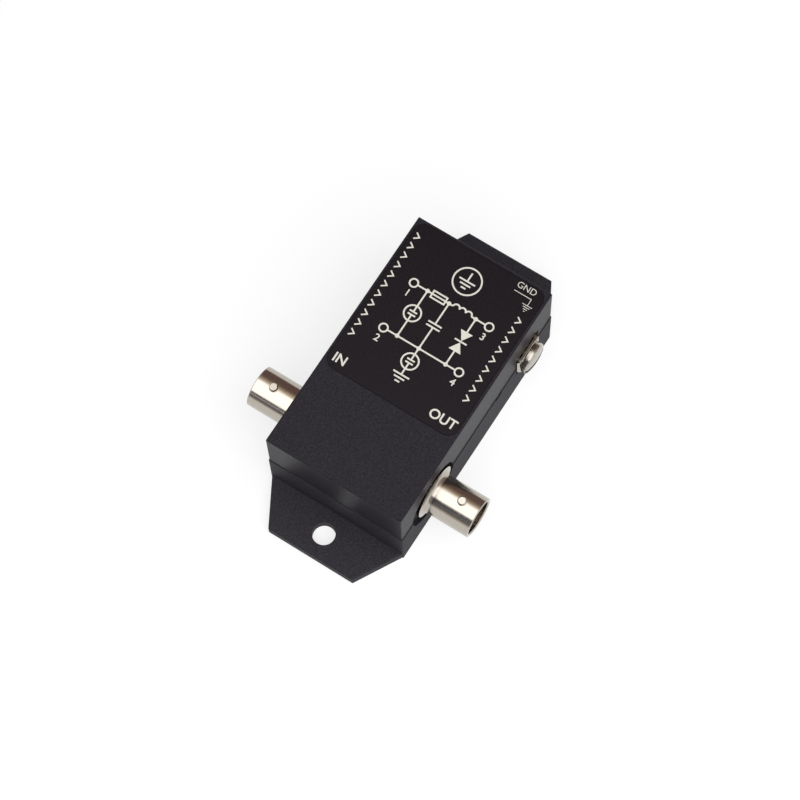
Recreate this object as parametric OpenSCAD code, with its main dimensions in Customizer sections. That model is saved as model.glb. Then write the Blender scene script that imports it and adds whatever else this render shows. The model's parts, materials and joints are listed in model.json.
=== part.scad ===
// Coax lightning arrestor: a two-part moulded housing with mounting tabs, a bayonet jack on each
// long side, a ground terminal, and the protection circuit on a board between them.
// Millimetres. The origin is the middle of the underside, +X the protected side, +Y the ground end.

/* [Housing] */
// Width of the housing across the jacks
body_w = 34.2; // [32:0.1:40]
// Length of the housing without its tabs
body_l = 60.8; // [56:0.1:76]
// Height of the housing
body_h = 26.5; // [25:0.1:32]
// Height of the parting line, which is also the axis of the jacks and of the ground screw
seam_z = 13.25; // [12:0.05:15]
// Thickness of the side walls
wall = 2.2; // [1.9:0.1:2.8]
// Thickness of the base's floor
floor_t = 2.4; // [1.8:0.1:3.2]
// Thickness of the cover's roof
roof_t = 2.2; // [1.6:0.1:3]
// Radius of the upright corners
corner_r = 0.2; // [0.1:0.05:2]
// Radius of the upright corners inside
inner_r = 0.5; // [0.3:0.1:0.7]
// Radius along the top edges
edge_r = 0.45; // [0.2:0.05:0.6]
// How far the base stands out past the cover's walls
base_step = 0.15; // [0.05:0.05:0.3]
// Height of the shadow line along the seam
reveal_h = 0.5; // [0.2:0.05:0.6]
// Depth of the shadow line along the seam
reveal_d = 0.4; // [0.2:0.05:0.6]
// Height of the base's tongue in the cover
tongue_h = 1.2; // [0.8:0.1:2]
// Thickness of the base's tongue
tongue_t = 0.8; // [0.6:0.1:1]
// Length of the notch where the two halves are prised apart
prise_l = 2.4; // [1.5:0.1:4]
// Height of the prising notch
prise_h = 1.4; // [0.7:0.05:2]
// Depth of the prising notch in the wall
prise_depth = 0.9; // [0.5:0.05:1.1]
// Distance of the prising notch from the far end of the housing
prise_inset = 21.9; // [20:0.1:24]

/* [Mounting tabs] */
// Length of each tab beyond the housing
tab_l = 10.9; // [9:0.1:16]
// Width of a tab at its free end
tab_end_w = 21.9; // [14:0.1:30]
// Thickness of a tab
tab_t = 2.7; // [2:0.1:4]
// Radius of a tab's free corners
tab_corner_r = 0.25; // [0.1:0.05:2]
// Bevel along a tab's upper edges
tab_bevel = 0.3; // [0.1:0.05:0.6]
// Distance between the two mounting holes
hole_spacing = 71.6; // [70:0.1:73.4]
// Diameter of a mounting hole
hole_d = 5.2; // [4:0.1:6]

/* [Label] */
// Length of the label
label_l = 38.9; // [30:0.1:44]
// Thickness of the label
label_t = 0.35; // [0.25:0.05:0.6]
// Depth of the seat that the label lies in
label_seat = 0.2; // [0.1:0.05:0.3]
// Bare rim between the label and the edges of the top
label_margin = 0.7; // [0.6:0.05:1.5]
// Radius of the label's corners
label_corner_r = 2.6; // [1:0.1:5]

/* [Jacks] */
// Distance of the jacks from the near end of the housing
jack_inset = 12.9; // [12:0.1:15]
// Reach of a jack beyond the wall
jack_reach = 11.3; // [10:0.1:14]
// Outer diameter of the barrel
barrel_d = 9.65; // [9.2:0.05:10.2]
// Diameter of the barrel's mouth
mouth_d = 8.1; // [7.6:0.05:8.6]
// Depth of the barrel's mouth
mouth_depth = 9; // [7.5:0.1:9.5]
// Diameter of the flange
flange_d = 12.8; // [12.5:0.1:14]
// Thickness of the flange
flange_t = 0.8; // [0.5:0.05:1]
// How far the flange stands proud of the wall
flange_proud = 0.15; // [0.05:0.05:0.4]
// Radius of the fillet between barrel and flange
fillet_r = 1.3; // [0.2:0.1:1.4]
// Radius around the barrel's rim
rim_r = 0.25; // [0.1:0.05:0.3]
// Bevel inside the barrel's rim
mouth_bevel = 0.25; // [0.1:0.05:0.3]
// Diameter of a bayonet stud
stud_d = 2; // [1.6:0.1:2.4]
// Distance across the tips of the two studs
stud_span = 11; // [10.4:0.1:11.8]
// Bevel around the tip of a stud
stud_bevel = 0.2; // [0.1:0.05:0.3]
// Distance of the studs from the barrel's rim
stud_back = 4.25; // [3:0.05:5.5]
// Diameter of the neck that the housing holds
neck_d = 9.4; // [8.6:0.1:10.2]
// Diameter of the shoulder inside the wall
shoulder_d = 11.6; // [11.2:0.1:12.6]
// Thickness of the shoulder inside the wall
shoulder_t = 1.4; // [1:0.1:2]
// Length of the legs that grip the board
leg_l = 5; // [3:0.1:6]
// Side of a leg's square section
leg_t = 1.2; // [0.8:0.1:1.3]
// Diameter of the opening around a flange
port_d = 16; // [14.6:0.1:17]
// Depth of the opening around a flange
port_depth = 1; // [0.9:0.05:1.1]
// Shift of the opening towards the near end
port_shift = 0.6; // [0:0.1:1]

/* [Jack insides] */
// Diameter of the insulator in the mouth
insulator_d = 4.8; // [4.2:0.1:5.4]
// Distance of the insulator's face from the barrel's rim
insulator_back = 2.8; // [2:0.1:4]
// Diameter of the insulator's foot
insulator_foot_d = 6.4; // [5.8:0.1:7.2]
// Thickness of the shell between mouth and foot
web_t = 0.8; // [0.5:0.1:1.2]
// Outer diameter of the socket contact
contact_d = 2.2; // [1.9:0.05:2.6]
// Bore of the socket contact
socket_d = 1.35; // [1.1:0.05:1.5]
// Length of the socket
socket_l = 6; // [4:0.1:8]
// Width of the slits in the socket
slit_w = 0.25; // [0.15:0.05:0.4]
// Distance of the socket's mouth behind the insulator's face
socket_sink = 0.3; // [0.1:0.05:0.5]
// Diameter of the contact's tail
tail_d = 0.9; // [0.7:0.05:1.1]
// Length of the tail over the board
tail_l = 3; // [2:0.1:5]

/* [Ground terminal] */
// Distance of the screw from the far end of the housing
ground_inset = 10.5; // [10:0.1:13]
// Diameter of the screw
screw_d = 3.5; // [3:0.05:4]
// Length of the screw under its head
screw_l = 8; // [6.5:0.1:9]
// Diameter of the screw's head
head_d = 7.6; // [7:0.1:8]
// Height of the screw's head
head_h = 1.95; // [1.7:0.05:2.7]
// Rise of the head's rounded face
head_rise = 0.6; // [0.2:0.05:1]
// Width of the slot in the head
slot_w = 1.1; // [0.8:0.05:1.3]
// Depth of the slot in the head
slot_depth = 0.9; // [0.6:0.05:1.2]
// Length of the clamp plate along the wall
plate_l = 8.4; // [7.8:0.1:9]
// Shift of the clamp plate from the screw towards the far end
plate_shift = 0.45; // [0:0.05:0.6]
// Height of the clamp plate
plate_h = 6.4; // [5:0.1:8]
// Thickness of the clamp plate
plate_t = 0.8; // [0.5:0.05:1]
// How far the clamp plate's back stands off the wall's face
plate_off = 0.2; // [0.1:0.05:0.6]
// Gap between the clamp plate's bent ends and the lug
lip_gap = 0.3; // [0.2:0.05:0.4]
// Radius of the clamp plate's bends
plate_bend_r = 1.2; // [0.8:0.05:1.4]
// Radius of the clamp plate's corners
plate_corner_r = 0.9; // [0.4:0.05:1.4]
// Radius along the clamp plate's upper and lower front edges
plate_edge_r = 0.3; // [0.1:0.05:0.4]
// Clearance around the clamp plate and the lug in the wall's window
window_gap = 0.4; // [0.2:0.05:0.6]
// Length of the lug's face
lug_l = 7.4; // [6.8:0.1:7.7]
// Height of the lug's face
lug_h = 6.8; // [5:0.1:8]
// Thickness of the lug
lug_t = 1.5; // [1.2:0.1:1.8]
// Distance of the lug's face behind the wall's face
lug_back = 0.9; // [0.8:0.05:1.2]
// Width of the lug's two prongs on the board
prong_w = 1.2; // [0.8:0.1:1.4]
// Thickness of the lug's two prongs
prong_t = 1; // [0.6:0.1:1.4]
// Length of the prongs over the board
prong_l = 2.4; // [1.6:0.1:3]

/* [Board] */
// Thickness of the board
board_t = 1.6; // [1.2:0.1:2]
// Distance of the board's ends from the end walls
board_end_gap = 0.6; // [0.3:0.1:1.5]
// Distance of the two columns of components from the board's long edges
column_inset = 6.8; // [6.6:0.1:7.2]
// Gap between one component and the next
row_gap = 0.4; // [0.2:0.1:0.6]
// Diameter of the posts that hold the board
post_d = 3.6; // [3:0.1:4.4]
// Distance of the posts from the side walls
post_side = 4.4; // [3.8:0.1:5]
// Distance of the posts from the end walls
post_end = 2.9; // [2.6:0.1:3.2]
// Diameter of the leads of the larger components
lead_d = 0.8; // [0.6:0.05:0.9]
// Distance of a bent lead from the end of its component
bend_out = 1.2; // [1:0.1:1.4]
// How far the leads stand out below the board
lead_out = 1.4; // [0.8:0.1:2]

/* [Components] */
// Diameter of a gas discharge tube
tube_d = 8; // [6:0.1:8.4]
// Length of a gas discharge tube
tube_l = 6; // [5:0.1:6.6]
// Height of a metal cap on a gas discharge tube
tube_cap = 1; // [0.6:0.1:1.4]
// Step between cap and ceramic on a gas discharge tube
tube_step = 0.35; // [0.2:0.05:0.6]
// Diameter of the coil's flanges
coil_d = 8.4; // [7:0.1:8.6]
// Height of the coil
coil_h = 7.4; // [6:0.1:8]
// Thickness of the coil's flanges
coil_rim = 1; // [0.6:0.1:1.4]
// Step from the coil's flanges down to its winding
coil_step = 0.7; // [0.4:0.1:1.2]
// Distance between the coil's leads
coil_span = 4.2; // [3:0.1:5]
// Diameter of the disc fuse
fuse_d = 7.6; // [6:0.1:7.8]
// Thickness of the disc fuse
fuse_t = 2.8; // [2:0.1:3]
// Distance between the disc fuse's leads
fuse_span = 4.6; // [3.5:0.1:5.2]
// Length of the film capacitor
cap_l = 8.6; // [7:0.1:8.8]
// Thickness of the film capacitor
cap_t = 3.6; // [2.8:0.1:4]
// Height of the film capacitor
cap_h = 7.6; // [6:0.1:8]
// Distance between the film capacitor's leads
cap_span = 5; // [4:0.1:6]
// Diameter of a clamping diode
diode_d = 4.6; // [3.6:0.1:4.8]
// Length of a clamping diode
diode_l = 7.2; // [6:0.1:7.4]
// Diameter of the resistor's ends
resistor_d = 2.3; // [1.8:0.1:2.4]
// Step from the resistor's ends down to its middle
resistor_step = 0.2; // [0.1:0.05:0.3]
// Length of the resistor
resistor_l = 6.2; // [5:0.1:7]

/* [Housing screws] */
// Distance of the housing screws from the ends of the housing
boss_inset = 4.7; // [4.5:0.1:4.9]
// Diameter of the bosses
boss_d = 6.2; // [5.8:0.1:6.4]
// Diameter of a housing screw
tapping_d = 2.9; // [2.6:0.1:3.1]
// Length of a housing screw under its head
tapping_l = 16; // [14.5:0.5:18]
// Diameter of a housing screw's head
tapping_head_d = 5; // [4.4:0.1:5.2]
// Height of a housing screw's head
tapping_head_h = 1.8; // [1.4:0.1:2.1]
// Length across the cross in a housing screw's head
cross_l = 2.8; // [2:0.1:3.6]
// Width of the cross in a housing screw's head
cross_w = 0.8; // [0.6:0.1:1]
// Depth of the cross in a housing screw's head
cross_depth = 0.9; // [0.6:0.1:1.2]
// Depth of the recess for a housing screw's head
recess_depth = 2.4; // [2.2:0.1:3]

/* [Fits] */
// Gap between parts that are put together
fit = 0.1; // [0.05:0.01:0.15]
// Gap around what passes through without being held
loose_fit = 0.2; // [0.1:0.05:0.3]
// Gap between a screw and the thread or plate that it turns in
turning_fit = 0.06; // [0.03:0.01:0.09]
// Gap between a soldered or seated face and what it lies on
seat_gap = 0.05; // [0.02:0.01:0.1]

/* [Hidden] */
$fn = 64;

// How far a cut runs past the face that it opens
past = 1;
// Sides of the housing: the protected side looks along +X
out_side = 1;
in_side = -1;

// Levels and places of the housing
inner_w = body_w - 2 * wall;
inner_l = body_l - 2 * wall;
roof_z = body_h - roof_t;
label_w = body_w - 2 * label_margin;
label_y = body_l / 2 - label_margin - label_l / 2;
boss_y = body_l / 2 - boss_inset;
post_x = inner_w / 2 - post_side;
post_y = inner_l / 2 - post_end;

// Places of the jacks, with distances counted outwards from the wall's face
jack_y = -body_l / 2 + jack_inset;
flange_back = flange_proud - flange_t;
shoulder_front = -wall - seat_gap;
shoulder_back = shoulder_front - shoulder_t;
mouth_floor = jack_reach - mouth_depth;
foot_front = mouth_floor - web_t;
insulator_front = jack_reach - insulator_back;
socket_back = insulator_front - socket_l;
// The legs stand just outside the bore, so that the insulator goes in between them
leg_y = insulator_foot_d / 2 + 2 * fit + leg_t / 2;

// The board lies just under the contacts' tails, between the shoulders of the two jacks
board_top = seam_z - tail_d / 2 - seat_gap;
board_bottom = board_top - board_t;
board_w = body_w + 2 * shoulder_back - 2 * fit;
board_l = inner_l - 2 * board_end_gap;

// Places of the ground terminal, with distances counted outwards from the wall's face
ground_y = body_l / 2 - ground_inset;
plate_front = plate_off + plate_t;
plate_lip = plate_off + lug_back - lip_gap;
head_seat = plate_front + seat_gap;
window_l = max(plate_l, lug_l + 2 * plate_shift) + 2 * window_gap;
window_h = max(plate_h, lug_h) + 2 * window_gap;
prong_y = (screw_d + prong_w) / 2 + loose_fit;
notch_depth = wall + fit + screw_l;

// Rows of components, counted from the jacks, in one column beside each long wall
column_x = board_w / 2 - column_inset;
tube_row = leg_y + leg_t / 2 + row_gap + tube_d / 2;
shield_row = tube_row + tube_d + row_gap;
diode_row = shield_row + tube_d / 2 + row_gap + diode_d / 2;
supply_row = diode_row + diode_d + row_gap;
resistor_row = supply_row + diode_d / 2 + row_gap + resistor_d / 2;
coil_row = leg_y + leg_t / 2 + row_gap + coil_d / 2;
fuse_row = coil_row + coil_d / 2 + row_gap + fuse_t / 2;
cap_row = fuse_row + fuse_t / 2 + row_gap + cap_t / 2;
tube_span = tube_l + 2 * bend_out;
diode_span = diode_l + 2 * bend_out;
resistor_span = resistor_l + 2 * bend_out;

// Every lead's place on the board, as column side, row and span
lead_pairs = [
    [in_side, tube_row, tube_span],
    [in_side, shield_row, tube_span],
    [in_side, diode_row, diode_span],
    [in_side, supply_row, diode_span],
    [in_side, resistor_row, resistor_span],
    [out_side, coil_row, coil_span],
    [out_side, fuse_row, fuse_span],
    [out_side, cap_row, cap_span],
];

black = "#17171b";
print_black = "#0d0c0d";
nickel = "#c9c6bd";
brass = "#b99b55";

// Direction from one point to another
function towards(from, to) = (to - from) / norm(to - from);

// Half of the angle at corner i of a closed outline
function half_angle(points, i) =
    let (n = len(points), p = points[i])
    acos(towards(p, points[(i + n - 1) % n]) * towards(p, points[(i + 1) % n])) / 2;

// The two points where an arc of radius r leaves and meets the sides at corner i
function arc_ends(points, i, r) =
    let (n = len(points), p = points[i], back = r / tan(half_angle(points, i)))
    [p + back * towards(p, points[(i + n - 1) % n]), p + back * towards(p, points[(i + 1) % n])];

// The middle of the arc of radius r at corner i
function arc_middle(points, i, r) =
    let (ends = arc_ends(points, i, r), p = points[i])
    p + towards(p, (ends[0] + ends[1]) / 2) * r / sin(half_angle(points, i));

// A convex outline with every corner rounded
module rounded_outline(points, r) {
    corners = [0 : len(points) - 1];
    polygon([for (i = corners) each arc_ends(points, i, r)]);
    for (i = corners) {
        translate(arc_middle(points, i, r)) circle(r = r);
    }
}

// A rounded rectangle centred on the origin
module rounded_rectangle(w, l, r) {
    rounded_outline([[-w / 2, -l / 2], [w / 2, -l / 2], [w / 2, l / 2], [-w / 2, l / 2]], r);
}

// The housing's outline, drawn in by a distance
module housing_outline(inset, r) {
    rounded_rectangle(body_w - 2 * inset, body_l - 2 * inset, r);
}

// An upright section of the housing with its two top corners rounded
module arched_section(width) {
    translate([-width / 2, 0]) square([width, body_h - edge_r]);
    translate([-width / 2 + edge_r, 0]) square([width - 2 * edge_r, body_h]);
    for (side = [-1, 1]) {
        translate([side * (width / 2 - edge_r), body_h - edge_r]) circle(r = edge_r);
    }
}

// Turns something made along +Z so that it looks outwards from a side wall at height seam_z
module on_wall(side, y) {
    translate([side * body_w / 2, y, seam_z]) rotate([0, side * 90, 0]) children();
}

// The openings for both jacks: a sunk round around the flange and a hole for the neck
module jack_ports() {
    for (side = [in_side, out_side]) {
        on_wall(side, jack_y - port_shift) translate([0, 0, -port_depth]) cylinder(d = port_d, h = port_depth + past);
        on_wall(side, jack_y) translate([0, 0, -wall - past]) cylinder(d = neck_d + 2 * fit, h = wall + 2 * past);
    }
}

// The window for the ground terminal
module ground_window() {
    translate([body_w / 2 - wall - past, ground_y + plate_shift - window_l / 2, seam_z - window_h / 2])
        cube([wall + 2 * past, window_l, window_h]);
}

// The notch in the seam where a blade goes in
module prise_notch() {
    translate([body_w / 2 - prise_depth, body_l / 2 - prise_inset - prise_l / 2, seam_z - prise_h])
        cube([prise_depth + base_step + past, prise_l, prise_h]);
}

// A copy at the near and at the far end
module at_ends(y) {
    for (end = [-1, 1]) {
        translate([0, end * y, 0]) children();
    }
}

// A copy at each post
module at_posts() {
    for (x = [-post_x, post_x], y = [-post_y, post_y]) {
        translate([x, y, 0]) children();
    }
}

// Upper half of the housing
module cover() color(black) {
    difference() {
        union() {
            difference() {
                intersection() {
                    translate([0, 0, seam_z]) linear_extrude(body_h - seam_z) housing_outline(0, corner_r);
                    rotate([90, 0, 0]) linear_extrude(body_l + past, center = true) arched_section(body_w);
                    rotate([90, 0, 90]) linear_extrude(body_w + past, center = true) arched_section(body_l);
                }
                translate([0, 0, seam_z - past]) linear_extrude(roof_z - seam_z + past) housing_outline(wall, inner_r);
                translate([0, 0, seam_z - past]) linear_extrude(tongue_h + fit + past)
                    housing_outline(wall - tongue_t - fit, inner_r);
            }
            at_ends(boss_y) translate([0, 0, seam_z]) cylinder(d = boss_d, h = roof_z - seam_z + seat_gap);
            at_posts() translate([0, 0, board_top + seat_gap]) cylinder(d = post_d, h = roof_z - board_top);
        }
        translate([0, label_y, body_h - label_seat]) linear_extrude(label_seat + past)
            rounded_rectangle(label_w + 2 * fit, label_l + 2 * fit, label_corner_r + fit);
        at_ends(boss_y) translate([0, 0, seam_z - past])
            cylinder(d = tapping_d + 2 * fit, h = recess_depth + tapping_l + past - seam_z + past);
        jack_ports();
        ground_window();
    }
}

// One tab as it lies at the far end, from inside the wall out to its free end
module tab_outline() {
    root_y = body_l / 2 - wall;
    end_y = body_l / 2 + tab_l;
    slope = (body_w - tab_end_w) / 2 / tab_l;
    root_w = body_w + 2 * slope * wall;
    intersection() {
        rounded_outline([[-root_w / 2, root_y], [root_w / 2, root_y], [tab_end_w / 2, end_y], [-tab_end_w / 2, end_y]],
            tab_corner_r);
        translate([-body_w / 2, 0]) square([body_w, end_y]);
    }
}

// A bevel cut along the upper edge from one point to another, with the tab on its left
module bevel_cut(from, to) {
    run = to - from;
    translate([from[0], from[1], tab_t]) rotate([0, 0, atan2(run[1], run[0])]) rotate([45, 0, 0])
        translate([-past, -tab_t, -tab_bevel / sqrt(2)]) cube([norm(run) + 2 * past, 2 * tab_t, tab_t]);
}

// One tab with its bevelled edges and its hole
module tab() {
    end_y = body_l / 2 + tab_l;
    root_right = [body_w / 2, body_l / 2];
    end_right = [tab_end_w / 2, end_y];
    end_left = [-tab_end_w / 2, end_y];
    root_left = [-body_w / 2, body_l / 2];
    difference() {
        linear_extrude(tab_t) tab_outline();
        bevel_cut(root_right, end_right);
        bevel_cut(end_right, end_left);
        bevel_cut(end_left, root_left);
    }
}

// Lower half of the housing with both tabs
module base() color(black) {
    difference() {
        union() {
            linear_extrude(seam_z - reveal_h) housing_outline(-base_step, corner_r);
            linear_extrude(seam_z) housing_outline(reveal_d, corner_r);
            linear_extrude(seam_z + tongue_h) housing_outline(wall - tongue_t, inner_r);
            tab();
            rotate([0, 0, 180]) tab();
        }
        difference() {
            translate([0, 0, floor_t]) linear_extrude(seam_z + tongue_h) housing_outline(wall, inner_r);
            at_ends(boss_y) cylinder(d = boss_d, h = seam_z - seat_gap);
            at_posts() cylinder(d = post_d, h = board_bottom - seat_gap);
        }
        at_ends(boss_y) {
            translate([0, 0, -past]) cylinder(d = tapping_head_d + 2 * loose_fit, h = recess_depth + past);
            cylinder(d = tapping_d + 2 * loose_fit, h = body_h);
            translate([0, 0, seam_z]) cylinder(d = boss_d + 2 * fit, h = tongue_h + past);
        }
        at_ends(hole_spacing / 2) translate([0, 0, -past]) cylinder(d = hole_d, h = tab_t + 2 * past);
        jack_ports();
        ground_window();
        prise_notch();
    }
}

// Printed overlay on the top
module label() color(print_black) {
    translate([0, label_y, body_h - label_seat]) linear_extrude(label_t)
        rounded_rectangle(label_w, label_l, label_corner_r);
}

// Half section of a jack's shell, radius to the right and distance from the wall upwards
module shell_section() {
    bore_r = insulator_foot_d / 2 + fit / 2;
    difference() {
        union() {
            translate([0, shoulder_back]) square([shoulder_d / 2, shoulder_t]);
            translate([0, shoulder_back]) square([neck_d / 2, flange_proud - shoulder_back]);
            translate([0, flange_back]) square([flange_d / 2, flange_t]);
            square([barrel_d / 2 + fillet_r, flange_proud + fillet_r]);
            square([barrel_d / 2, jack_reach - rim_r]);
            square([barrel_d / 2 - rim_r, jack_reach]);
            translate([barrel_d / 2 - rim_r, jack_reach - rim_r]) circle(r = rim_r);
        }
        translate([barrel_d / 2 + fillet_r, flange_proud + fillet_r]) circle(r = fillet_r);
        translate([0, shoulder_back - past]) square([bore_r, foot_front - shoulder_back + past]);
        square([insulator_d / 2 + fit / 2, jack_reach]);
        translate([0, mouth_floor]) square([mouth_d / 2, mouth_depth + past]);
        translate([0, jack_reach - mouth_bevel])
            polygon([[0, 0], [mouth_d / 2, 0], [mouth_d / 2 + mouth_bevel, mouth_bevel], [0, mouth_bevel]]);
    }
}

// A pin right through the barrel whose two bevelled ends are the bayonet studs
module stud_pin() {
    cylinder(d = stud_d, h = stud_span - 2 * stud_bevel, center = true);
    for (end = [0, 1]) {
        mirror([0, 0, end]) translate([0, 0, stud_span / 2 - stud_bevel])
            cylinder(d1 = stud_d, d2 = stud_d - 2 * stud_bevel, h = stud_bevel);
    }
}

// Legs of a jack's shell, above and below the board
module shell_legs(side) {
    root_x = body_w / 2 + shoulder_back + shoulder_t / 2;
    length = leg_l + shoulder_t / 2;
    for (y = [-leg_y, leg_y], z = [board_top + seat_gap, board_bottom - seat_gap - leg_t]) {
        translate([side * (root_x - length / 2), jack_y + y, z + leg_t / 2]) cube([length, leg_t, leg_t], center = true);
    }
}

// Outer shell of a jack with its two bayonet studs
module jack_shell(side) color(nickel) {
    difference() {
        union() {
            on_wall(side, jack_y) rotate_extrude() shell_section();
            on_wall(side, jack_y) translate([0, 0, jack_reach - stud_back]) rotate([0, 90, 0]) stud_pin();
            shell_legs(side);
        }
        on_wall(side, jack_y) translate([0, 0, mouth_floor]) cylinder(d = mouth_d, h = mouth_depth + past);
    }
}

module out_shell() { jack_shell(out_side); }
module in_shell() { jack_shell(in_side); }

// Insulator of a jack, with a foot that sits in the shell from behind
module jack_insulator(side) color("white") {
    on_wall(side, jack_y) rotate_extrude() difference() {
        union() {
            translate([0, shoulder_back]) square([insulator_foot_d / 2, foot_front - seat_gap - shoulder_back]);
            translate([0, shoulder_back]) square([insulator_d / 2, insulator_front - shoulder_back]);
        }
        translate([0, shoulder_back - past]) square([tail_d / 2 + fit / 2, insulator_front + past - shoulder_back]);
        translate([0, socket_back - seat_gap]) square([contact_d / 2 + fit / 2, socket_l + past]);
    }
}

module out_insulator() { jack_insulator(out_side); }
module in_insulator() { jack_insulator(in_side); }

// Socket contact of a jack: a slit tube in front, a tail behind that lies over the board
module jack_contact(side) color(brass) {
    front = insulator_front - socket_sink;
    tail_back = shoulder_back - tail_l;
    on_wall(side, jack_y) difference() {
        union() {
            translate([0, 0, socket_back]) cylinder(d = contact_d, h = front - socket_back);
            translate([0, 0, tail_back]) cylinder(d = tail_d, h = socket_back - tail_back + seat_gap);
        }
        translate([0, 0, socket_back + contact_d / 2]) cylinder(d = socket_d, h = socket_l);
        for (turn = [0, 90]) {
            rotate([0, 0, turn]) translate([-contact_d, -slit_w / 2, front - socket_l / 2])
                cube([2 * contact_d, slit_w, socket_l]);
        }
    }
}

module out_contact() { jack_contact(out_side); }
module in_contact() { jack_contact(in_side); }

// Board with room for the bosses and the ground screw, and a hole for every lead
module circuit_board() color("#1f5b3a") {
    boss_room = boss_d + 4 * loose_fit;
    difference() {
        translate([-board_w / 2, -board_l / 2, board_bottom]) cube([board_w, board_l, board_t]);
        for (end = [-1, 1]) {
            translate([-boss_room / 2, end * (boss_y + board_l / 2) - board_l / 2, board_bottom - past])
                cube([boss_room, board_l, board_t + 2 * past]);
            translate([0, end * boss_y, board_bottom - past]) cylinder(d = boss_room, h = board_t + 2 * past);
        }
        translate([body_w / 2 - notch_depth, ground_y - screw_d / 2 - loose_fit, board_bottom - past])
            cube([notch_depth, screw_d + 2 * loose_fit, board_t + 2 * past]);
        for (pair = lead_pairs, end = [-1, 1]) {
            translate([pair[0] * column_x + end * pair[2] / 2, jack_y + pair[1], board_bottom - past])
                cylinder(d = lead_d + 2 * fit, h = board_t + 2 * past);
        }
    }
}

// Tapped lug behind the clamp plate, with two prongs on the board
module ground_lug() color(brass) {
    face_x = body_w / 2 - lug_back;
    prong_end = board_w / 2 - prong_l;
    difference() {
        union() {
            translate([face_x - lug_t, ground_y - lug_l / 2, seam_z - lug_h / 2]) cube([lug_t, lug_l, lug_h]);
            for (y = [-prong_y, prong_y]) {
                translate([prong_end, ground_y + y - prong_w / 2, board_top + seat_gap])
                    cube([face_x - lug_t / 2 - prong_end, prong_w, prong_t]);
            }
        }
        on_wall(out_side, ground_y) translate([0, 0, -lug_back - lug_t - past])
            cylinder(d = screw_d + 2 * turning_fit, h = lug_t + 2 * past);
    }
}

// Terminal screw with a slotted head, whose face is part of a ball
module ground_screw() color(nickel) {
    face = head_seat + head_h;
    ball_r = (pow(head_d / 2, 2) + pow(head_rise, 2)) / (2 * head_rise);
    on_wall(out_side, ground_y) difference() {
        union() {
            translate([0, 0, head_seat - screw_l]) cylinder(d = screw_d, h = screw_l + seat_gap);
            rotate_extrude() intersection() {
                translate([0, head_seat]) square([head_d / 2, head_h]);
                translate([0, face - ball_r]) circle(r = ball_r);
            }
        }
        translate([-slot_w / 2, -head_d, face - slot_depth]) cube([slot_w, 2 * head_d, slot_depth + past]);
    }
}

// Wire clamp: a plate whose two ends are bent back through the window, towards the lug
module clamp_plate() color(nickel) {
    depth = plate_lip + plate_t;
    translate([body_w / 2 + plate_off - plate_lip, ground_y + plate_shift, seam_z]) difference() {
        intersection() {
            linear_extrude(plate_h, center = true) difference() {
                intersection() {
                    rounded_rectangle(2 * depth, plate_l, plate_bend_r);
                    translate([0, -plate_l / 2]) square([depth, plate_l]);
                }
                rounded_rectangle(2 * plate_lip, plate_l - 2 * plate_t, plate_bend_r - plate_t + fit);
            }
            rotate([90, 0, 90]) linear_extrude(depth) rounded_rectangle(plate_l, plate_h, plate_corner_r);
            rotate([90, 0, 0]) linear_extrude(plate_l, center = true) rounded_rectangle(2 * depth, plate_h, plate_edge_r);
        }
        translate([0, -plate_shift, 0]) rotate([0, 90, 0]) cylinder(d = screw_d + 2 * turning_fit, h = depth + past);
    }
}

// Puts a component on the board: column side, row, and its own shape made around the board's top
module on_board(side, row) {
    translate([side * column_x, jack_y + row, board_top]) children();
}

// Two straight leads down through the board
module straight_leads(span, top) {
    for (end = [-1, 1]) {
        translate([end * span / 2, 0, -board_t - lead_out]) cylinder(d = lead_d, h = board_t + lead_out + top);
    }
}

// Leads that come out of both ends of a lying component and bend down through the board
module bent_leads(span, axis_z) {
    straight_leads(span, axis_z);
    for (end = [-1, 1]) {
        translate([end * span / 2, 0, axis_z]) sphere(d = lead_d);
    }
    translate([-span / 2, 0, axis_z]) rotate([0, 90, 0]) cylinder(d = lead_d, h = span);
}

// Gas discharge tube: ceramic between two metal caps
module gas_tube(row) color("#d8d2c6") {
    axis_z = tube_d / 2 + seat_gap;
    on_board(in_side, row) {
        bent_leads(tube_span, axis_z);
        translate([-tube_l / 2, 0, axis_z]) rotate([0, 90, 0]) {
            cylinder(d = tube_d - 2 * tube_step, h = tube_l);
            cylinder(d = tube_d, h = tube_cap);
            translate([0, 0, tube_l - tube_cap]) cylinder(d = tube_d, h = tube_cap);
        }
    }
}

module line_gas_tube() { gas_tube(tube_row); }
module shield_gas_tube() { gas_tube(shield_row); }

// Series coil wound on a drum core
module line_coil() color("#a5562b") {
    on_board(out_side, coil_row) {
        straight_leads(coil_span, coil_rim);
        translate([0, 0, seat_gap]) {
            cylinder(d = coil_d - 2 * coil_step, h = coil_h);
            cylinder(d = coil_d, h = coil_rim);
            translate([0, 0, coil_h - coil_rim]) cylinder(d = coil_d, h = coil_rim);
        }
    }
}

// Disc fuse that stands on its leads
module resettable_fuse() color("#c9a227") {
    on_board(out_side, fuse_row) {
        straight_leads(fuse_span, fuse_d / 2);
        translate([0, fuse_t / 2, fuse_d / 2 + seat_gap]) rotate([90, 0, 0]) cylinder(d = fuse_d, h = fuse_t);
    }
}

// Film capacitor in a box
module film_capacitor() color("#8f2f22") {
    on_board(out_side, cap_row) {
        straight_leads(cap_span, cap_h / 2);
        translate([-cap_l / 2, -cap_t / 2, seat_gap]) cube([cap_l, cap_t, cap_h]);
    }
}

// Moulded clamping diode
module clamping_diode(row) color("#202022") {
    axis_z = diode_d / 2 + seat_gap;
    on_board(in_side, row) {
        bent_leads(diode_span, axis_z);
        translate([-diode_l / 2, 0, axis_z]) rotate([0, 90, 0]) cylinder(d = diode_d, h = diode_l);
    }
}

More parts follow.
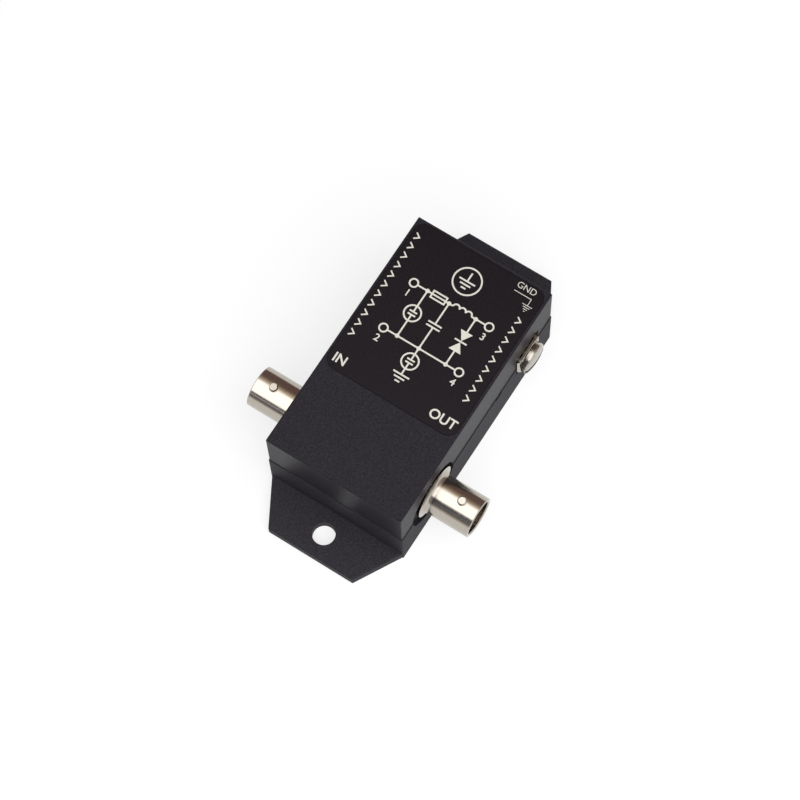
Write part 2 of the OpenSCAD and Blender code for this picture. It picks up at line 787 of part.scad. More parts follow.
module line_diode() { clamping_diode(diode_row); }
module supply_diode() { clamping_diode(supply_row); }

// Axial resistor with thicker ends
module bleed_resistor() color("#b7a07a") {
    axis_z = resistor_d / 2 + seat_gap;
    end_l = resistor_l / 4;
    on_board(in_side, resistor_row) {
        bent_leads(resistor_span, axis_z);
        translate([-resistor_l / 2, 0, axis_z]) rotate([0, 90, 0]) {
            cylinder(d = resistor_d - 2 * resistor_step, h = resistor_l);
            cylinder(d = resistor_d, h = end_l);
            translate([0, 0, resistor_l - end_l]) cylinder(d = resistor_d, h = end_l);
        }
    }
}

// The two screws that hold cover and base together, from the underside
module housing_screws() color("#8d8d90") {
    seat = recess_depth - seat_gap;
    at_ends(boss_y) difference() {
        union() {
            translate([0, 0, seat - tapping_head_h]) cylinder(d = tapping_head_d, h = tapping_head_h);
            translate([0, 0, seat - seat_gap]) cylinder(d = tapping_d, h = tapping_l);
        }
        for (turn = [0, 90]) {
            rotate([0, 0, turn]) translate([-cross_l / 2, -cross_w / 2, seat - tapping_head_h - past])
                cube([cross_l, cross_w, cross_depth + past]);
        }
    }
}

cover();
base();
label();
out_shell();
in_shell();
out_insulator();
in_insulator();
out_contact();
in_contact();
circuit_board();
ground_lug();
ground_screw();
clamp_plate();
line_gas_tube();
shield_gas_tube();
line_coil();
resettable_fuse();
film_capacitor();
line_diode();
supply_diode();
bleed_resistor();
housing_screws();
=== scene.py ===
"""Looks of a coax lightning arrestor: finishes, label and print, terminal screw, floor, light and camera.

Sizes are millimetres and become metres where a mesh, light or camera is made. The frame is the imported
model's own: origin in the middle of the underside, +X the protected side, +Y the ground end, +Z up.
"""
import json
import math

import bmesh
import bpy
import numpy as np
from mathutils import Matrix, Vector


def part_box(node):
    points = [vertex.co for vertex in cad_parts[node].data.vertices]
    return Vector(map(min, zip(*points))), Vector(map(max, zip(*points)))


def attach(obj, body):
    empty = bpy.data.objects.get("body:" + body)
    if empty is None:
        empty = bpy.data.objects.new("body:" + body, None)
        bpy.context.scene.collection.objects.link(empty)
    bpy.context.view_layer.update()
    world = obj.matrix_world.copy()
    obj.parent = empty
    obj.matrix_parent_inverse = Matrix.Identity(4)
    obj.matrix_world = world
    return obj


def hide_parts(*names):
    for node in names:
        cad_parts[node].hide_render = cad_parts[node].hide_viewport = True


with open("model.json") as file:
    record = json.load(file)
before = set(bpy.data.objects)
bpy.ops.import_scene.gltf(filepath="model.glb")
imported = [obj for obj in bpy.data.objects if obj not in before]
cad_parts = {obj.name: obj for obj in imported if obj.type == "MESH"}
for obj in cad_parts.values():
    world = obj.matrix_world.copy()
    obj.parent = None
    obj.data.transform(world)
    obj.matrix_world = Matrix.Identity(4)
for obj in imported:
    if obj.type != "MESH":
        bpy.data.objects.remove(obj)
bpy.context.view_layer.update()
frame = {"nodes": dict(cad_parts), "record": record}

MM = 0.001


def box_mm(node):
    """Lowest and highest corner of a CAD node at rest, in millimetres."""
    low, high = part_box(node)
    return np.array(low) / MM, np.array(high) / MM


# Label: film and ink together are as high as the CAD label
LABEL_LOW, LABEL_HIGH = box_mm("label")
LABEL_CORNER_R = 2.6
LABEL_LIP = 0.12
INK_T = 0.02
INK_TOP = LABEL_HIGH[2]

# Print: line widths, how much letters are thickened in their own units, and the bars of large earth signs
LINE_W = 0.38
FINE_LINE_W = 0.15
ARROW_LINE_W = 0.32
BOLD, MEDIUM, THIN = 0.018, 0.014, -0.006
EARTH_HALVES = (2.0, 1.3, 0.6)
EARTH_PITCH = 0.85

# Terminal screw: a slotted head with a rounded face, over a fine thread with a slimmer tip
SCREW_D = 3.5
SCREW_PITCH = 0.79
THREAD_DEPTH = 0.3
TIP_SHARE = 0.25
TIP_LEAST = 0.3
HEAD_H = 1.95
HEAD_RISE = 0.6
HEAD_EDGE_R = 0.45
SLOT_W = 1.1
SLOT_DEPTH = 0.9

# The point that the camera and the softbox face
AIM = Vector((0, 0, 10)) * MM


# Shapes

def make_piece(name, points, faces, smooth=False):
    """A mesh object at the origin from points in millimetres and faces as lists of point numbers."""
    mesh = bpy.data.meshes.new(name)
    mesh.from_pydata((np.asarray(points) * MM).tolist(), [], faces)
    mesh.polygons.foreach_set("use_smooth", [smooth] * len(mesh.polygons))
    mesh.validate()
    piece = bpy.data.objects.new(name, mesh)
    bpy.context.scene.collection.objects.link(piece)
    return piece


def sheet_faces(rows, columns):
    """Four-sided faces of an open grid of points, numbered row by row."""
    number = np.arange(rows * columns).reshape(rows, columns)
    corners = [number[:-1, :-1], number[:-1, 1:], number[1:, 1:], number[1:, :-1]]
    return np.stack(corners, axis=-1).reshape(-1, 4).tolist()


def tube_faces(rows, columns, start=0):
    """Four-sided faces of a grid whose last column joins its first, with points numbered from start."""
    row, column = np.meshgrid(np.arange(rows - 1), np.arange(columns), indexing="ij")
    after = (column + 1) % columns
    below, above = row * columns, (row + 1) * columns
    corners = [below + column, below + after, above + after, above + column]
    return (start + np.stack(corners, axis=-1).reshape(-1, 4)).tolist()


def close_seams(piece):
    """Merges points that lie on each other, drops the faces this empties and turns all faces outwards."""
    merge_m, empty_m, sharp_from = 1e-7, 1e-8, math.radians(40)
    shape = bmesh.new()
    shape.from_mesh(piece.data)
    bmesh.ops.remove_doubles(shape, verts=shape.verts, dist=merge_m)
    bmesh.ops.dissolve_degenerate(shape, edges=shape.edges, dist=empty_m)
    bmesh.ops.recalc_face_normals(shape, faces=shape.faces)
    shape.to_mesh(piece.data)
    shape.free()
    piece.data.set_sharp_from_angle(angle=sharp_from)


def rounded_ring(low, high, radius, inset, steps=12):
    """Rounded rectangle drawn in by inset: four quarter circles about fixed centres and straight sides."""
    turn = np.linspace(0, math.pi / 2, steps)[None, :] + np.arange(4)[:, None] * math.pi / 2
    right = np.array([1, -1, -1, 1])[:, None]
    far = np.array([1, 1, -1, -1])[:, None]
    middle_x = (low[0] + high[0]) / 2 + right * ((high[0] - low[0]) / 2 - radius)
    middle_y = (low[1] + high[1]) / 2 + far * ((high[1] - low[1]) / 2 - radius)
    reach = radius - inset
    ring = np.stack([middle_x + reach * np.cos(turn), middle_y + reach * np.sin(turn)], axis=-1)
    return ring.reshape(-1, 2)


def label_film():
    """The label: a rounded ring raised from its seat, with a quarter circle of the lip at its upper edge."""
    lip_steps = 6
    top = INK_TOP - INK_T
    bend = np.linspace(0, math.pi / 2, lip_steps)
    insets = np.concatenate([[0], LABEL_LIP * (1 - np.cos(bend))])
    heights = np.concatenate([[LABEL_LOW[2]], top - LABEL_LIP * (1 - np.sin(bend))])
    outlines = [rounded_ring(LABEL_LOW, LABEL_HIGH, LABEL_CORNER_R, inset) for inset in insets]
    rings = [np.column_stack([outline, np.full(len(outline), z)]) for outline, z in zip(outlines, heights)]
    columns = len(rings[0])
    underside = list(range(columns))[::-1]
    face = [(len(rings) - 1) * columns + i for i in range(columns)]
    faces = tube_faces(len(rings), columns) + [underside, face]
    return make_piece("label_film", np.concatenate(rings), faces)


def terminal_screw():
    """The terminal screw, its axis along X: a slotted head over a threaded shank.

    The head's face is a height over the disc: part of a ball, less a quarter circle that rounds the rim,
    cut down to the slot's floor where a point lies within half the slot's width of the axis. The rest is
    a radius around the axis: head side, underside, and a shank whose radius is a triangle wave of the
    distance along the axis less one pitch a turn, which makes the thread."""
    side_rows, columns, shank_rows = 22, 41, 140
    low, high = box_mm("ground_screw")
    head_r = (high[1] - low[1]) / 2
    axis_y, axis_z = (low[1:] + high[1:]) / 2
    end_x, seat_x = low[0], high[0] - HEAD_H

    # Face: rows across the slot, doubled at its two walls, and points along each row out to the rim
    half_slot = SLOT_W / 2
    outer = head_r * np.sin(np.linspace(math.asin(half_slot / head_r), math.pi / 2, side_rows))
    across = np.concatenate([-outer[::-1], [-half_slot, 0, half_slot], outer])
    rows = len(across)
    row = np.arange(rows)
    in_slot = (row >= side_rows) & (row < rows - side_rows)
    along = np.sin(np.linspace(-math.pi / 2, math.pi / 2, columns))
    reach = np.sqrt(np.maximum(head_r ** 2 - across ** 2, 0))
    y = along[None, :] * reach[:, None]
    z = np.broadcast_to(across[:, None], y.shape)
    ball_r = (head_r ** 2 + HEAD_RISE ** 2) / (2 * HEAD_RISE)
    height = HEAD_H - ball_r + np.sqrt(ball_r ** 2 - y ** 2 - z ** 2)
    past_edge = np.clip(np.hypot(y, z) - (head_r - HEAD_EDGE_R), 0, HEAD_EDGE_R)
    height -= HEAD_EDGE_R - np.sqrt(HEAD_EDGE_R ** 2 - past_edge ** 2)
    height = np.where(in_slot[:, None], np.minimum(height, HEAD_H - SLOT_DEPTH), height)
    face = np.stack([seat_x + height, axis_y + y, axis_z + z], axis=-1).reshape(-1, 3)

    # Round stretches: the rim's points go on down the side, under the head and along the thread
    number = np.arange(rows * columns).reshape(rows, columns)
    rim = face[np.concatenate([number[:, -1], number[::-1, 0]])]
    angle = np.arctan2(rim[:, 2] - axis_z, rim[:, 1] - axis_y)
    shank = np.linspace(seat_x, end_x, shank_rows)
    wave = np.abs(((shank[:, None] / SCREW_PITCH - angle[None, :] / (2 * math.pi)) % 1) * 2 - 1)
    taper = np.clip((shank - end_x) / SCREW_PITCH, TIP_LEAST, 1)[:, None]
    shank_r = (SCREW_D / 2 - THREAD_DEPTH * wave) * (1 - TIP_SHARE + TIP_SHARE * taper)
    radius = np.concatenate([np.full((1, len(rim)), head_r), shank_r, np.zeros((1, len(rim)))])
    place = np.concatenate([[seat_x], shank, [end_x]])
    turned = np.stack([np.broadcast_to(place[:, None], radius.shape),
                       axis_y + radius * np.cos(angle)[None, :],
                       axis_z + radius * np.sin(angle)[None, :]], axis=-1)
    points = np.concatenate([face, rim, turned.reshape(-1, 3)])
    faces = sheet_faces(rows, columns) + tube_faces(1 + len(radius), len(rim), rows * columns)
    screw = make_piece("terminal_screw", points, faces, smooth=True)
    close_seams(screw)
    return screw


# Printed marks, each as points and faces

def stroke(path, width=LINE_W):
    """A printed line: a flat rectangular profile carried along a path, mitred where the path turns.

    At each point the profile's half width runs along the mean of the two neighbouring normals and is
    divided by the cosine of half the turn, so that both sides stay parallel to the path."""
    path = np.asarray(path, float)
    runs = np.diff(path, axis=0)
    runs /= np.linalg.norm(runs, axis=1)[:, None]
    normals = np.column_stack([-runs[:, 1], runs[:, 0]])
    before = np.vstack([normals[:1], normals])
    after = np.vstack([normals, normals[-1:]])
    mean = before + after
    mean /= np.linalg.norm(mean, axis=1)[:, None]
    side = mean * (width / 2 / np.sum(mean * after, axis=1))[:, None]
    corners = [(side, INK_TOP), (-side, INK_TOP), (-side, INK_TOP - INK_T), (side, INK_TOP - INK_T)]
    edges = [np.column_stack([path + shift, np.full(len(path), z)]) for shift, z in corners]
    last = len(corners) * (len(path) - 1)
    ends = [[3, 2, 1, 0], [last, last + 1, last + 2, last + 3]]
    faces = tube_faces(len(path), len(corners)) + ends
    return np.stack(edges, axis=1).reshape(-1, 3), [face[::-1] for face in faces]


def patch(outline):
    """A printed area: a closed outline raised by the ink's thickness."""
    outline = np.asarray(outline, float)
    count = len(outline)
    rings = [np.column_stack([outline, np.full(count, z)]) for z in (INK_TOP - INK_T, INK_TOP)]
    faces = tube_faces(2, count) + [list(range(count))[::-1], list(range(count, 2 * count))]
    return np.concatenate(rings), faces


def arc(centre, radius, start=0, end=360, steps=24):
    """Points of a circle's arc about a centre, from one angle in degrees to another."""
    turn = np.radians(np.linspace(start, end, steps))
    return np.asarray(centre) + radius * np.column_stack([np.cos(turn), np.sin(turn)])


def word(text, middle, cap_height, weight):
    """Printed letters: built-in ones thickened by weight, scaled to a cap height and laid on the label."""
    merge_dist = 1e-5
    curve = bpy.data.curves.new("letters", "FONT")
    curve.body = text
    curve.offset = weight
    curve.extrude = 1
    source = bpy.data.objects.new("letters", curve)
    bpy.context.scene.collection.objects.link(source)
    letters = bpy.data.meshes.new_from_object(source.evaluated_get(bpy.context.evaluated_depsgraph_get()))
    merged = bmesh.new()
    merged.from_mesh(letters)
    bmesh.ops.remove_doubles(merged, verts=merged.verts, dist=merge_dist)
    merged.to_mesh(letters)
    merged.free()
    points = np.empty(3 * len(letters.vertices), np.float32)
    letters.vertices.foreach_get("co", points)
    points = points.reshape(-1, 3).astype(float)
    faces = [list(polygon.vertices) for polygon in letters.polygons]
    bpy.data.objects.remove(source)
    bpy.data.curves.remove(curve)
    bpy.data.meshes.remove(letters)
    low, high = points.min(axis=0), points.max(axis=0)
    flat = (points[:, :2] - (low[:2] + high[:2]) / 2) * cap_height / (high[1] - low[1]) + middle
    return np.column_stack([flat, np.where(points[:, 2] > 0, INK_TOP, INK_TOP - INK_T)]), faces


def joined(marks):
    """Several marks as one, each a little thinner than the last, so that no two tops lie in one plane."""
    thinner = INK_T / (2 * len(marks))
    starts = np.cumsum([0] + [len(points) for points, _ in marks])
    faces = [[start + i for i in face] for start, (_, found) in zip(starts, marks) for face in found]
    layers = [points - np.outer(points[:, 2] == INK_TOP, [0, 0, step * thinner])
              for step, (points, _) in enumerate(marks)]
    return np.concatenate(layers), faces


def earth_sign(x, y, halves=EARTH_HALVES, pitch=EARTH_PITCH, width=LINE_W):
    """The earth sign: bars that get shorter, one pitch below the other."""
    levels = [y - step * pitch for step in range(len(halves))]
    return [stroke([(x - half, level), (x + half, level)], width) for half, level in zip(halves, levels)]


def gas_tube(x, y, radius, reach):
    """A gas tube's sign: a ring around two short electrodes, whose leads reach out on both sides."""
    electrode_off, lead_end = 0.4, 0.45
    marks = [stroke(arc((x, y), radius, steps=48))]
    for side in (-1, 1):
        level = y + side * electrode_off
        marks.append(stroke([(x, y + side * reach), (x, y + side * lead_end)]))
        marks.append(stroke([(x - radius / 2, level), (x + radius / 2, level)]))
    return marks


def diode_pair(x, y, half, reach):
    """A clamp diode's sign: two filled triangles that meet at one bar, with a lead out from each."""
    depth, overlap = 1.7 * half, 0.1 * half
    marks = [stroke([(x - half, y), (x + half, y)])]
    for side in (-1, 1):
        back_y = y + side * depth
        triangle = [(x, y + side * LINE_W / 2), (x + side * half, back_y), (x - side * half, back_y)]
        marks.append(patch(triangle))
        marks.append(stroke([(x, back_y - side * overlap), (x, y + side * reach)]))
    return marks


def capacitor(x, y, half, gap, reach):
    """A capacitor's sign: two plates with a gap between them, and a lead out from each."""
    marks = []
    for side in (-1, 1):
        level = y + side * gap / 2
        marks.append(stroke([(x - half, level), (x + half, level)]))
        marks.append(stroke([(x, level), (x, y + side * reach)]))
    return marks


def terminal_marks():
    """Plain marks at the jacks and the ground terminal, with a fine lead from the last to an earth sign."""
    in_at, out_at, ground_at = (-13.6, -6.6), (12.4, -6.3), (11.85, 28.5)
    in_h, out_h, ground_h = 2.25, 2.3, 1.45
    lead_x, lead_y = 9.6, 26.8
    earth_x, earth_y = 13.95, 25.1
    earth_halves, earth_pitch = (1.2, 0.8, 0.5, 0.2), 0.48
    marks = [
        word("IN", in_at, in_h, BOLD),
        word("OUT", out_at, out_h, BOLD),
        word("GND", ground_at, ground_h, THIN),
        stroke([(lead_x, lead_y), (earth_x, lead_y), (earth_x, earth_y)], FINE_LINE_W),
    ]
    return marks + earth_sign(earth_x, earth_y, earth_halves, earth_pitch, FINE_LINE_W)


def arrow_columns():
    """Arrow heads along both sides: into the line on the left, out to the protected side on the right."""
    head_w, head_h, pitch = 1.1, 1.6, 2.62
    left_x, left_top, left_count = -14.8, 26.1, 11
    right_x, right_top, right_count = 14.2, 21.1, 9
    columns = ((left_x, left_top, left_count), (right_x, right_top, right_count))
    head = np.array([(-head_w / 2, head_h / 2), (head_w / 2, 0), (-head_w / 2, -head_h / 2)])
    return [stroke(head + (x, top_y - step * pitch), ARROW_LINE_W)
            for x, top_y, count in columns for step in range(count)]


def protective_earth():
    """The earth sign in a ring, above the diagram."""
    ring_y, ring_r, stem = 23.0, 3.2, 2.2
    marks = [stroke(arc((0, ring_y), ring_r, steps=64)), stroke([(0, ring_y + stem), (0, ring_y)])]
    return marks + earth_sign(0, ring_y)


def line_diagram():
    """Fuse and coil in the line, tube, capacitor and diode across it, and a tube from shield to earth."""
    line_y, shield_y = 16.6, 4.4
    left_x, right_x, terminal_r = -9.6, 9.6, 0.95
    start_x, end_x = left_x + terminal_r, right_x - terminal_r
    terminals = [(x, y) for y in (line_y, shield_y) for x in (left_x, right_x)]
    marks = [stroke(arc(terminal, terminal_r, steps=40)) for terminal in terminals]

    # Along the line and the shield
    fuse_low, fuse_high, fuse_half = -4.9, -1.5, 0.85
    fuse = [(fuse_low, line_y), (fuse_low, line_y + fuse_half), (fuse_high, line_y + fuse_half),
            (fuse_high, line_y - fuse_half), (fuse_low, line_y - fuse_half), (fuse_low, line_y)]
    coil_low, coil_r, turns = 0.4, 0.78, 3
    coil_high = coil_low + 2 * turns * coil_r
    coil = [arc((coil_low + (2 * turn + 1) * coil_r, line_y), coil_r, 180, 0) for turn in range(turns)]
    before = [(start_x, line_y), (coil_low, line_y)]
    after = [(coil_high, line_y), (end_x, line_y)]
    shield = [(start_x, shield_y), (end_x, shield_y)]
    marks += [stroke(run) for run in (before, fuse, *coil, after, shield)]

    # Across them, with a dot at each joint
    tube_x, middle_x, diode_x = -6.1, -0.6, 6.2
    tube_r, diode_half, plate_half, plate_gap, dot_r = 1.9, 1.5, 1.7, 0.9, 0.5
    branch_y, reach = (line_y + shield_y) / 2, (line_y - shield_y) / 2
    marks += gas_tube(tube_x, branch_y, tube_r, reach)
    marks += diode_pair(diode_x, branch_y, diode_half, reach)
    marks += capacitor(middle_x, branch_y, plate_half, plate_gap, reach)
    joints = [(x, y) for x in (tube_x, middle_x, diode_x) for y in (line_y, shield_y)]
    marks += [patch(arc(joint, dot_r)[:-1]) for joint in joints]

    # From the shield to earth
    earth_reach = 3.5
    marks += gas_tube(middle_x, shield_y - earth_reach, tube_r, earth_reach)
    marks += earth_sign(middle_x, shield_y - 2 * earth_reach)

    # A number below each terminal, the left ones first
    number_h, number_drop = 1.7, 2.6
    numbered = [(x, y) for x in (left_x, right_x) for y in (line_y, shield_y)]
    for number, (x, y) in enumerate(numbered, start=1):
        marks.append(word(str(number), (x, y - number_drop), number_h, MEDIUM))
    return marks


def label_print():
    """The print on the label: plain marks, arrow heads, and a line diagram of such a circuit."""
    marks = terminal_marks() + arrow_columns() + protective_earth() + line_diagram()
    return make_piece("label_print", *joined(marks))


# Materials

def srgb(code):
    """A hex colour as linear red, green, blue and an alpha of 1."""
    parts = [int(code[i:i + 2], 16) / 255 for i in (1, 3, 5)]
    return [p / 12.92 if p <= 0.04045 else ((p + 0.055) / 1.055) ** 2.4 for p in parts] + [1.0]


def add(material, kind, inputs=None, **settings):
    """Adds a shader node with its settings. An input is a value, or a link given as (node, output)."""
    made = material.node_tree.nodes.new("ShaderNode" + kind)
    for name, value in settings.items():
        setattr(made, name, value)
    for name, value in (inputs or {}).items():
        if isinstance(value, tuple) and isinstance(value[0], bpy.types.Node):
            material.node_tree.links.new(value[0].outputs[value[1]], made.inputs[name])
        else:
            made.inputs[name].default_value = value
    return made


def bare_material(name):
    """A material with an empty node tree."""
    material = bpy.data.materials.new(name)
    material.use_nodes = True
    material.node_tree.nodes.clear()
    return material


def finish(name, hues, grain_mm, roughness, relief_mm, stretch=(1, 1, 1), **shader):
    """A surface whose colour and roughness wander between two values over a grain, which also lifts it.

    stretch lengthens the grain along each axis, and shader holds constant sockets of the surface."""
    grain_low, grain_high, grain_detail = 0.3, 0.7, 3.0
    # A Mix node has the same names for each kind of value, so its colours go by number
    first_colour, second_colour, mixed_colour = 6, 7, 2
    material = bare_material(name)
    place = add(material, "TexCoord")
    scale = [1 / (along * grain_mm * MM) for along in stretch]
    scaled = add(material, "Mapping", {"Vector": (place, "Object"), "Scale": scale})
    grain = add(material, "TexNoise", {"Vector": (scaled, "Vector"), "Scale": 1.0, "Detail": grain_detail})
    span = {"Value": (grain, "Fac"), "From Min": grain_low, "From Max": grain_high}
    share = add(material, "MapRange", span)
    mix = {"Factor": (share, "Result"), first_colour: srgb(hues[0]), second_colour: srgb(hues[1])}
    colour = add(material, "Mix", mix, data_type="RGBA")
    rough = add(material, "MapRange", {**span, "To Min": roughness[0], "To Max": roughness[1]})
    relief = add(material, "Bump", {"Height": (grain, "Fac"), "Distance": relief_mm * MM})
    sockets = {socket.replace("_", " "): value for socket, value in shader.items()}
    surface = add(material, "BsdfPrincipled", {"Base Color": (colour, mixed_colour),
                                               "Roughness": (rough, "Result"),
                                               "Normal": (relief, "Normal"), **sockets})
    add(material, "OutputMaterial", {"Surface": (surface, "BSDF")})
    return material


FINISHES = {
    # Black ABS from a spark-eroded mould: a fine, even speckle that stays matt from above and shines at a
    # low angle. The usual grain of 0.1 to 0.2 mm is too fine to show, so it is drawn coarser
    "housing": finish("abs_spark_eroded", ("#1f1d22", "#2f2c32"), grain_mm=0.4, roughness=(0.33, 0.43),
                      relief_mm=0.022, IOR=1.52, Specular_IOR_Level=0.05),
    # Polyester film, printed black from behind: darker and smoother than the housing, with a satin sheen
    "label": finish("polyester_film_satin", ("#1a161a", "#1c181c"), grain_mm=0.5, roughness=(0.26, 0.29),
                    relief_mm=0.0006, IOR=1.6, Specular_IOR_Level=0.05),
    # Bright nickel over a turned surface: mirror-like, slightly warm, with fine lines around the axis
    "nickel": finish("nickel_plate_turned", ("#b0a99f", "#bab3a9"), grain_mm=0.08, roughness=(0.13, 0.2),
                     relief_mm=0.0006, stretch=(1, 40, 40), Metallic=1.0),
    # Acetal resin: milky white and slightly waxy
    "insulator": finish("acetal_moulded", ("#e6e2d8", "#efece4"), grain_mm=0.6, roughness=(0.35, 0.45),
                        relief_mm=0.004, IOR=1.48),
    # Brass under a thin gold flash: warm and fairly bright
    "contact": finish("brass_gold_flash", ("#b8913f", "#d0a956"), grain_mm=0.1, roughness=(0.16, 0.26),
                      relief_mm=0.001, stretch=(1, 20, 20), Metallic=1.0),
    # Glass-epoxy board under solder mask: green, a little uneven where the cloth lies under it
    "board": finish("glass_epoxy_mask", ("#1c5235", "#266a45"), grain_mm=0.9, roughness=(0.3, 0.4),
                    relief_mm=0.004, IOR=1.55),
    # Nickel-plated steel, pressed and tumbled: softly bright with small dents
    "plated_steel": finish("nickel_plated_steel", ("#aca79e", "#bfbab1"), grain_mm=0.5,
                           roughness=(0.12, 0.26), relief_mm=0.016, Metallic=1.0),
    # Glazed alumina of the gas tubes: a warm white with a soft gloss
    "ceramic": finish("alumina_glazed", ("#d3ccbf", "#e2ddd2"), grain_mm=0.5, roughness=(0.25, 0.35),
                      relief_mm=0.004, IOR=1.7),
    # Enamelled copper wire wound side by side: bands about as wide as the wire
    "winding": finish("enamelled_copper", ("#8e3f1c", "#c06a35"), grain_mm=0.35, roughness=(0.2, 0.3),
                      relief_mm=0.03, stretch=(30, 30, 1), IOR=1.55),
    # Dipped epoxy on the disc fuse: a glossy yellow coat that is a little wavy
    "fuse_coat": finish("epoxy_dip_yellow", ("#c2981d", "#d3ad34"), grain_mm=1.2, roughness=(0.2, 0.3),
                        relief_mm=0.03, IOR=1.55),
    # Moulded polyester box of the film capacitor: brick red with a soft gloss
    "capacitor_case": finish("polyester_case_red", ("#842a1e", "#963628"), grain_mm=0.4,
                             roughness=(0.3, 0.4), relief_mm=0.006, IOR=1.55),
    # Moulded epoxy of the diodes: dull black
    "diode_case": finish("epoxy_moulded_black", ("#1b1b1d", "#262628"), grain_mm=0.3,
                         roughness=(0.45, 0.6), relief_mm=0.008, IOR=1.55),
    # Lacquer on the film resistor: beige and glossy
    "resistor_coat": finish("lacquer_beige", ("#b09a72", "#c0ab85"), grain_mm=0.5, roughness=(0.2, 0.3),
                            relief_mm=0.004, IOR=1.5),
}
# ABS from a duller mould, for the lower half: nearly the same black, with less shine at a low angle
ABS_DULL = finish("abs_dull_mould", ("#222025", "#343137"), grain_mm=0.4, roughness=(0.54, 0.66),
                  relief_mm=0.022, IOR=1.52, Specular_IOR_Level=0.09)
# Screen ink: creamy white and slightly uneven
INK = finish("screen_ink_white", ("#cbc8bd", "#d8d5cb"), grain_mm=0.4, roughness=(0.45, 0.55),
             relief_mm=0.002, IOR=1.5)


def dress_nodes():
    """Gives every CAD node the finish of its record slot, and the base its duller one."""
    for part in frame["record"]["subparts"]:
        node = frame["nodes"][part["node"]]
        node.data.materials.clear()
        node.data.materials.append(ABS_DULL if part["node"] == "base" else FINISHES[part["material_slot"]])


def dress(piece, material, body, instead_of=None):
    """Gives a new piece its finish and lets it ride on a body."""
    piece.data.materials.append(material)
    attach(piece, body)
    if instead_of:
        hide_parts(instead_of)


# Studio

def seen_by(material, *kinds):
    """Factor of 1 for the named kinds of ray, such as Camera, and 0 for the rest."""
    rays = add(material, "LightPath")
    total = add(material, "Math", {0: (rays, f"Is {kinds[0]} Ray"), 1: 0.0}, operation="MAXIMUM")
    for kind in kinds[1:]:
        total = add(material, "Math", {0: (total, 0), 1: (rays, f"Is {kind} Ray")}, operation="MAXIMUM")
    return total


def floor_material():
    """White paper that stays white for the eye and in reflections, and greys a little under the object."""
    material = bare_material("white_paper")
    shown = seen_by(material, "Camera", "Transmission", "Glossy")
    paper = add(material, "BsdfDiffuse", {"Color": srgb("#e2e0de")})
    half = add(material, "BsdfDiffuse", {"Color": srgb("#909090")})
    glow = add(material, "Emission", {"Color": srgb("#ffffff"), "Strength": 0.74})
    lit = add(material, "AddShader", {0: (half, "BSDF"), 1: (glow, "Emission")})
    mixed = add(material, "MixShader", {0: (shown, 0), 1: (paper, "BSDF"), 2: (lit, "Shader")})
    add(material, "OutputMaterial", {"Surface": (mixed, "Shader")})
    return material


def paper_floor():
    """A wide white floor, a hair below the object so that no two faces lie in one plane."""
    reach, under = 3000, -0.05
    sides = [(-reach, -reach), (reach, -reach), (reach, reach), (-reach, reach)]
    floor = make_piece("floor", [(x, y, under) for x, y in sides], [[0, 1, 2, 3]])
    floor.data.materials.append(floor_material())


def mirrored_room():
    """What the bright metal mirrors: a screen bent around the jacks' common axis that only reflections see.

    A point of it lies one radius from the axis at an angle off straight up, far side negative. Each row
    has one angle as the left jack sees it and one as the right jack does, with its hue and glow: dim room,
    soft edge, softbox, and a dark stand before the floor begins. Away from the middle the screen fades to
    an even glow, so that the metal stays bright from the other sides too."""
    rows = [
        (-98, -98, "#ffcfc7", 0.18),
        (-44, -50, "#ffd0c2", 0.19),
        (-26, -30, "#ffe6c6", 0.66),
        (-5, -12, "#ffffff", 2.6),
        (54, 37, "#ffffff", 2.6),
        (57, 42, "#f0f0ff", 0.14),
        (66, 62, "#f0f0ff", 0.14),
        (68, 63.5, "#ffffff", 0.7),
        (72, 64, "#ffffff", 0.7),
        (75, 64.5, "#f0f0ff", 0.12),
        (80, 70, "#f0f0ff", 0.14),
        (98, 86, "#fff4e4", 0.7),
    ]
    radius = 250
    across = np.array([-450, -140, -70, -26, 45, 450])
    even_share = np.array([0.85, 0.15, 0, 0, 0.15, 0.85])[:, None]
    even_glow = np.array(srgb("#ffffff")) * 0.75
    jack_columns = len(across) // 2
    low, high = box_mm("out_shell")
    axis_y, axis_z = (low[1:] + high[1:]) / 2
    angle = np.radians([[left] * jack_columns + [right] * jack_columns for left, right, _, _ in rows])
    points = np.stack([np.broadcast_to(across, angle.shape),
                       axis_y - radius * np.sin(angle),
                       axis_z + radius * np.cos(angle)], axis=-1)
    screen = make_piece("mirrored_room", points.reshape(-1, 3), sheet_faces(*angle.shape))
    hues = np.array([np.array(srgb(hue)) * strength for _, _, hue, strength in rows])
    faded = hues[:, None, :] * (1 - even_share) + even_glow * even_share
    glow = screen.data.attributes.new("glow", "FLOAT_COLOR", "POINT")
    glow.data.foreach_set("color", faded.ravel())

    material = bare_material("room_glow")
    value = add(material, "Attribute", attribute_name="glow")
    shine = add(material, "Emission", {"Color": (value, "Color"), "Strength": 1.0})
    add(material, "OutputMaterial", {"Surface": (shine, "Emission")})
    screen.data.materials.append(material)
    screen.visible_camera = False
    screen.visible_diffuse = False
    screen.visible_transmission = False
    screen.visible_shadow = False


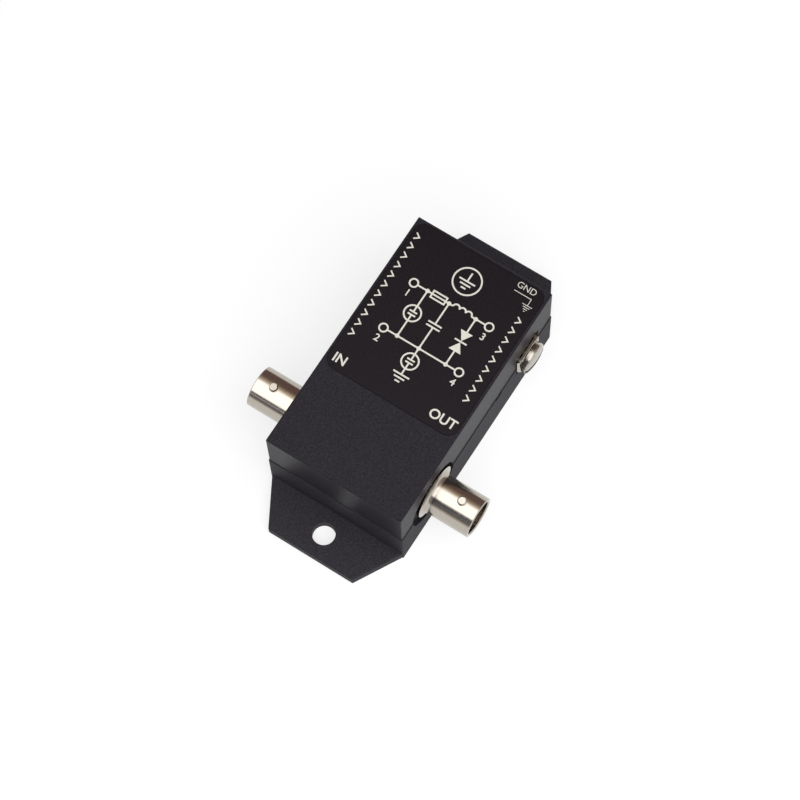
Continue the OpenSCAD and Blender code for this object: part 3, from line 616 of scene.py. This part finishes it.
def studio_world():
    """An even fill for the object, and plain white for the eye and in reflections."""
    world = bpy.data.worlds.new("studio")
    bpy.context.scene.world = world
    world.use_nodes = True
    world.node_tree.nodes.clear()
    shown = seen_by(world, "Camera", "Transmission", "Glossy")
    fill = add(world, "Background", {"Color": srgb("#ffffff"), "Strength": 0.35})
    white = add(world, "Background", {"Color": srgb("#ffffff"), "Strength": 1.0})
    mixed = add(world, "MixShader", {0: (shown, 0), 1: (fill, "Background"), 2: (white, "Background")})
    add(world, "OutputWorld", {"Surface": (mixed, "Shader")})


def overhead_softbox():
    """One broad soft light above the near right side. Reflections see the mirrored room instead of it."""
    place = Vector((300, -200, 580)) * MM
    light = bpy.data.lights.new("softbox", "AREA")
    light.shape = "RECTANGLE"
    light.size = 900 * MM
    light.size_y = 850 * MM
    light.energy = 6
    softbox = bpy.data.objects.new("softbox", light)
    softbox.location = place
    softbox.rotation_mode = "QUATERNION"
    softbox.rotation_quaternion = (AIM - place).to_track_quat("-Z", "Y")
    softbox.visible_glossy = False
    bpy.context.scene.collection.objects.link(softbox)


def set_camera():
    """A long lens over the near right corner, rolled a little, the object right of and above the middle."""
    azimuth, elevation, roll = math.radians(35.09), math.radians(70.61), math.radians(-2.71)
    distance = 643.6 * MM
    right_of_middle, above_middle = 2.48 * MM, 1.77 * MM
    flat = math.cos(elevation)
    back = Vector((math.sin(azimuth) * flat, -math.cos(azimuth) * flat, math.sin(elevation)))
    level = Vector((math.cos(azimuth), math.sin(azimuth), 0))
    rise = back.cross(level)
    right = math.cos(roll) * level + math.sin(roll) * rise
    up = math.cos(roll) * rise - math.sin(roll) * level
    eye = AIM + back * distance
    axis = (eye - (AIM - right * right_of_middle - up * above_middle)).normalized()
    side = up.cross(axis).normalized()
    lens = bpy.data.cameras.new("camera")
    lens.sensor_width = 36
    lens.lens = 131.9
    lens.clip_start = 50 * MM
    lens.clip_end = 20000 * MM
    camera = bpy.data.objects.new("camera", lens)
    turn = Matrix((side, axis.cross(side), axis)).transposed().to_4x4()
    camera.matrix_world = Matrix.Translation(eye) @ turn
    bpy.context.scene.collection.objects.link(camera)
    bpy.context.scene.camera = camera


set_camera()
paper_floor()
mirrored_room()
studio_world()
overhead_softbox()
dress_nodes()
dress(label_film(), FINISHES["label"], "root", instead_of="label")
dress(label_print(), INK, "root")
dress(terminal_screw(), FINISHES["plated_steel"], "screw", instead_of="ground_screw")
bpy.context.scene.view_settings.view_transform = "Standard"
